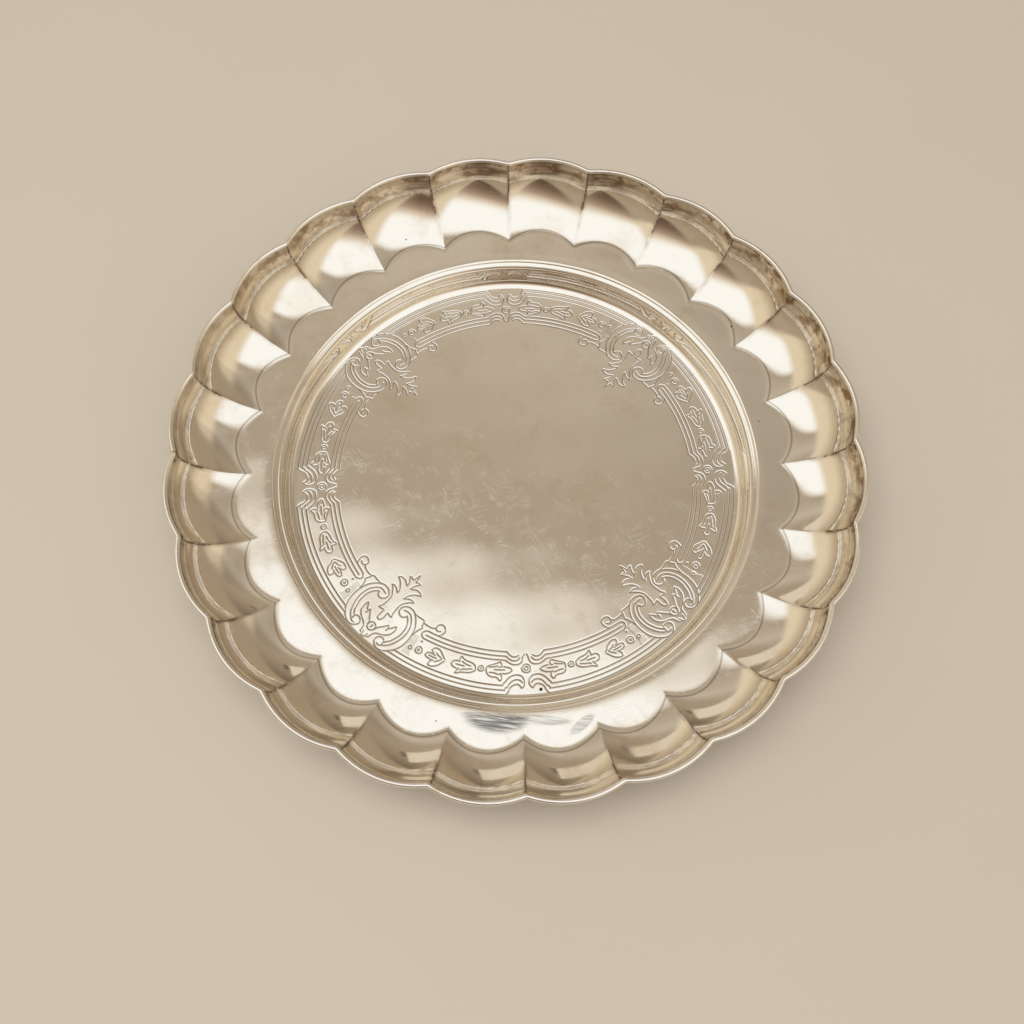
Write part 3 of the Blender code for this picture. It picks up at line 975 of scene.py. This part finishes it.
# %% The dish's material
def make_dish_silver():
    """Polished plate with tarnish, grime, painted shade, scratches, rubbed patches and pits."""
    material, tree, output = new_material("dish_silver")
    place = node(tree, "TexCoord").outputs["Object"]
    flat = node(tree, "VectorMath", {0: place, 1: (1, 1, 0)}, operation="MULTIPLY").outputs[0]
    radius = node(tree, "VectorMath", {0: flat}, operation="LENGTH").outputs["Value"]
    z = node(tree, "SeparateXYZ", {0: place}).outputs[2]
    groove = node(tree, "Attribute", attribute_name="groove").outputs["Fac"]
    crease_shade = node(tree, "Attribute", attribute_name="crease_shade").outputs["Fac"]
    fine_cloud = group_output(tree, tarnish, Place=place, Scale=260.0, Cover=0.62)
    broad_cloud = group_output(tree, tarnish, Place=place, Scale=70.0, Cover=0.5)

    brown = tarnish_and_shade_mask(tree, place, crease_shade, fine_cloud, broad_cloud)
    # Painted shade in a thin line at the foot of each flute.
    foot_shade_line = plateau(tree, z, FOOT_LINE_RISE, FOOT_LINE_FALL, FOOT_LINE_SHARE)
    rubbed, streaks = rubbed_mask(tree, place)
    dirt_and_shade = dirt_and_shade_mask(tree, place, groove, crease_shade)
    pit = pit_mask(tree, flat)
    colour = mix_colour(tree, broad_cloud, BRIGHT_SILVER, WARM_SILVER)
    # Tarnish, painted shade, rubbing, grime and pits, each laid over the silver by its mask.
    for mask, wear_and_shade in (
        (brown, TARNISH_AND_SHADE_BROWN),
        (foot_shade_line, FOOT_PAINTED_SHADE),
        (product(tree, rubbed, 0.9), RUBBED_GREY),
        (dirt_and_shade, DIRT_AND_CREASE_SHADE),
        (pit, PIT_BLACK),
    ):
        colour = mix_colour(tree, mask, colour, wear_and_shade)

    rough = maths(tree, "ADD", POLISH_ROUGHNESS, product(tree, broad_cloud, 0.05))
    for mask, more in ((brown, 0.16), (rubbed, 0.24), (dirt_and_shade, 0.25), (pit, 0.4)):
        rough = maths(tree, "ADD", rough, product(tree, mask, more))

    scratch_height = group_output(tree, scratches, Place=place, Scale=1700.0)
    turned_lines = maths(tree, "SINE", product(tree, radius, 2 * pi / TURNED_LINE_PITCH))
    on_shoulder = plateau(tree, radius, TURNED_LINES_RISE, TURNED_LINES_FALL)
    height = product(tree, scratch_height, -0.28)
    for part in (
        product(tree, turned_lines, on_shoulder, 0.9),
        product(tree, streaks, rubbed, 1.6),
        product(tree, pit, -6.0),
    ):
        height = maths(tree, "ADD", height, part)
    bump = node(tree, "Bump", {"Height": height, "Distance": MARK_HEIGHT, "Strength": 1.0})

    inputs = {
        "Base Color": colour,
        "Metallic": maths(tree, "SUBTRACT", 1.0, maths(tree, "MULTIPLY", dirt_and_shade, 0.5)),
        "Roughness": rough,
        "Normal": bump.outputs[0],
    }
    shader = node(tree, "BsdfPrincipled", inputs)
    tree.links.new(shader.outputs[0], output.inputs[0])
    return material


dish_silver = make_dish_silver()


# %% The wire's and the solder's materials
WIRE_BRIGHT = (0.92, 0.90, 0.86)
WIRE_WORN = (0.80, 0.73, 0.62)
SOLDER_YELLOW = (0.62, 0.44, 0.20)
SOLDER_BROWN = (0.30, 0.20, 0.09)


def make_plain_metal(name, colour, worn_colour, cover, roughness, mark_height):
    """A metal whose colour turns to a worn one in clouds, with fine scratches."""
    material, tree, output = new_material(name)
    place = node(tree, "TexCoord").outputs["Object"]
    mask = group_output(tree, tarnish, Place=place, Scale=330.0, Cover=cover)
    height = group_output(tree, scratches, Place=place, Scale=2400.0)
    bump = node(tree, "Bump", {"Height": height, "Distance": mark_height, "Strength": 1.0})
    inputs = {
        "Base Color": mix_colour(tree, mask, colour, worn_colour),
        "Metallic": 1.0,
        "Roughness": maths(tree, "ADD", roughness, product(tree, mask, 0.12)),
        "Normal": bump.outputs[0],
    }
    shader = node(tree, "BsdfPrincipled", inputs)
    tree.links.new(shader.outputs[0], output.inputs[0])
    return material


wire_silver = make_plain_metal("wire_silver", WIRE_BRIGHT, WIRE_WORN, 0.3, 0.16, 0.000004)
bare_solder = make_plain_metal("bare_solder", SOLDER_YELLOW, SOLDER_BROWN, 0.55, 0.34, 0.00001)

# %% Each piece gets its finish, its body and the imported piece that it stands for
for piece in [border, *quarters, middle]:
    piece.data.materials.append(dish_silver)
    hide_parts("dish")
rim_wire.data.materials.append(wire_silver)
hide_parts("rim_wire")
bead.data.materials.append(bare_solder)
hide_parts("wire_joint")
for piece in [border, *quarters, middle, rim_wire, bead]:
    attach(piece, "root")

# %% [markdown]
# ## Floor, light and camera
# Polished metal shows the room round it, so the light is built as a room would be: a large soft
# white ceiling light that reaches from just behind the tray to well in front of it, dimmer and
# warmer beyond its edges, pale walls on the left and the right that darken near the floor, and a
# window beyond the tray with a dark post beside it. One soft lamp that mirrors don't show lifts the
# floor to its own colour.

# %% Floor
FLOOR_HALF_SIZE = 1.5
FLOOR_GAP = 0.00002
FLOOR_COLOUR = (0.56, 0.515, 0.45)


def make_floor():
    """A large flat square a hair below the tray's underside, in a plain pale finish."""
    corners = np.array([[-1, -1], [1, -1], [1, 1], [-1, 1]]) * FLOOR_HALF_SIZE
    points = np.column_stack([corners, np.full(4, -FLOOR_GAP)])
    floor = mesh_piece("floor", points, [[0, 1, 2, 3]])
    material, tree, output = new_material("floor_paint")
    place = node(tree, "TexCoord").outputs["Object"]
    cloud = noise(tree, place, 14.0, 4.0)
    colour = mix_colour(tree, cloud, FLOOR_COLOUR, tuple(0.96 * part for part in FLOOR_COLOUR))
    inputs = {"Base Color": colour, "Roughness": 0.7, "Specular IOR Level": 0.2}
    shader = node(tree, "BsdfPrincipled", inputs)
    tree.links.new(shader.outputs[0], output.inputs[0])
    floor.data.materials.append(material)
    return floor


make_floor()

# %% Light all round
CEILING_SKEW = 0.35
CEILING_STOPS = [
    (-90, (0.12, 0.08, 0.055)),
    (-70, (0.18, 0.12, 0.08)),
    (-60, (0.27, 0.185, 0.13)),
    (-50, (0.42, 0.31, 0.23)),
    (-41, (0.76, 0.63, 0.50)),
    (-33, (1.00, 0.97, 0.90)),
    (-27, (1.07, 1.07, 1.06)),
    (13, (1.07, 1.07, 1.06)),
    (16, (0.86, 0.79, 0.69)),
    (19, (0.43, 0.355, 0.27)),
    (22, (0.46, 0.38, 0.29)),
    (33, (0.58, 0.50, 0.405)),
    (42, (0.42, 0.335, 0.245)),
    (60, (0.37, 0.285, 0.20)),
    (90, (0.20, 0.15, 0.10)),
]
LEFT_WALL = (0.80, 0.675, 0.49)
LEFT_WALL_NEAR = (0.44, 0.355, 0.26)
RIGHT_WALL = (0.80, 0.665, 0.485)
RIGHT_WALL_FAR = (0.38, 0.30, 0.21)
WALL_FOOT = (0.40, 0.30, 0.19)
WINDOW_COLOUR = (0.76, 0.66, 0.52)
POST_COLOUR = (0.16, 0.13, 0.10)

WINDOW_TILT = ((54, 55.5), (71, 74))
WINDOW_LEAN = ((-50, -45), (8, 10))
POST_TILT = ((54, 56), (62, 64))
POST_LEAN = ((10, 11), (16, 17))
DIM_TILT = ((14, 22), (34, 44))
DIM_SHARE = 0.2


def ceiling_colour(tree, degrees):
    """The ceiling's colour at an angle from -90 to 90 degrees, between its listed stops."""
    inputs = {"Value": degrees, "From Min": -90.0, "From Max": 90.0}
    share = node(tree, "MapRange", inputs).outputs[0]
    colours = node(tree, "ValToRGB", {0: share})
    stops = colours.color_ramp.elements
    while len(stops) < len(CEILING_STOPS):
        stops.new(0.5)
    for stop, (angle, colour) in zip(stops, CEILING_STOPS):
        stop.position = (angle + 90) / 180
        stop.color = (*colour, 1)
    return colours.outputs[0]


def light_the_room():
    """The world's colour by direction.

    The tilt is the angle from straight up towards +Y, and the lean the angle towards +X. The
    ceiling's colour follows the tilt, a little skewed by the lean, and gives way to a wall's where
    the lean is large. A window stands low beyond the tray with a dark post on its right, and the
    ceiling beyond the tray on the right is a little dimmer.
    """
    world = bpy.data.worlds.new("soft_room")
    bpy.context.scene.world = world
    world.use_nodes = True
    tree = world.node_tree
    tree.nodes.clear()
    x, y, z = node(tree, "SeparateXYZ", {0: node(tree, "TexCoord").outputs["Generated"]}).outputs
    tilt = product(tree, maths(tree, "ARCTAN2", y, z), 180 / pi)
    lean = product(tree, maths(tree, "ARCTAN2", x, z), 180 / pi)
    room = ceiling_colour(tree, maths(tree, "ADD", tilt, product(tree, lean, CEILING_SKEW)))

    near_floor = ramp(tree, z, 0.05, 0.5, 0.8, 0.0)
    left_wall = mix_colour(tree, ramp(tree, tilt, -38, -24, 1.0, 0.0), LEFT_WALL, LEFT_WALL_NEAR)
    right_wall = mix_colour(tree, ramp(tree, tilt, 26, 44), RIGHT_WALL, RIGHT_WALL_FAR)
    for share, wall in (
        (ramp(tree, lean, -50, -36, 1.0, 0.0), left_wall),
        (ramp(tree, lean, 36, 50), right_wall),
    ):
        room = mix_colour(tree, share, room, mix_colour(tree, near_floor, wall, WALL_FOOT))

    window = product(tree, plateau(tree, tilt, *WINDOW_TILT), plateau(tree, lean, *WINDOW_LEAN))
    post = product(tree, plateau(tree, tilt, *POST_TILT), plateau(tree, lean, *POST_LEAN))
    dim = product(tree, ramp(tree, lean, 3, 16, 0.0, DIM_SHARE), plateau(tree, tilt, *DIM_TILT))
    for share, colour in ((window, WINDOW_COLOUR), (post, POST_COLOUR), (dim, (0, 0, 0))):
        room = mix_colour(tree, share, room, colour)
    background = node(tree, "Background", {"Color": room, "Strength": 1.0})
    output = tree.nodes.new("ShaderNodeOutputWorld")
    tree.links.new(background.outputs[0], output.inputs[0])


light_the_room()

LAMP_HEIGHT = 0.9
lamp = bpy.data.lights.new("soft_lamp", "AREA")
lamp.shape = "RECTANGLE"
lamp.size = 0.7
lamp.size_y = 0.5
lamp.energy = 4.0
lamp.color = (1.0, 0.97, 0.92)
lamp_object = bpy.data.objects.new("soft_lamp", lamp)
lamp_object.location = (-0.15, -0.1, LAMP_HEIGHT)
lamp_object.visible_glossy = False
bpy.context.scene.collection.objects.link(lamp_object)

# %% Camera
CAMERA_PLACE = (-0.0063, -0.1165, 0.2840)
CAMERA_TURN = (radians(20.639), radians(-0.493), radians(-1.417))
CAMERA_LENS = 39.25

camera = bpy.data.cameras.new("camera")
camera.lens = CAMERA_LENS
camera.sensor_width = 36.0
camera.clip_start = 0.01
camera_object = bpy.data.objects.new("camera", camera)
camera_object.location = CAMERA_PLACE
camera_object.rotation_euler = CAMERA_TURN
bpy.context.scene.collection.objects.link(camera_object)
bpy.context.scene.camera = camera_object
bpy.context.scene.view_settings.view_transform = "Standard"
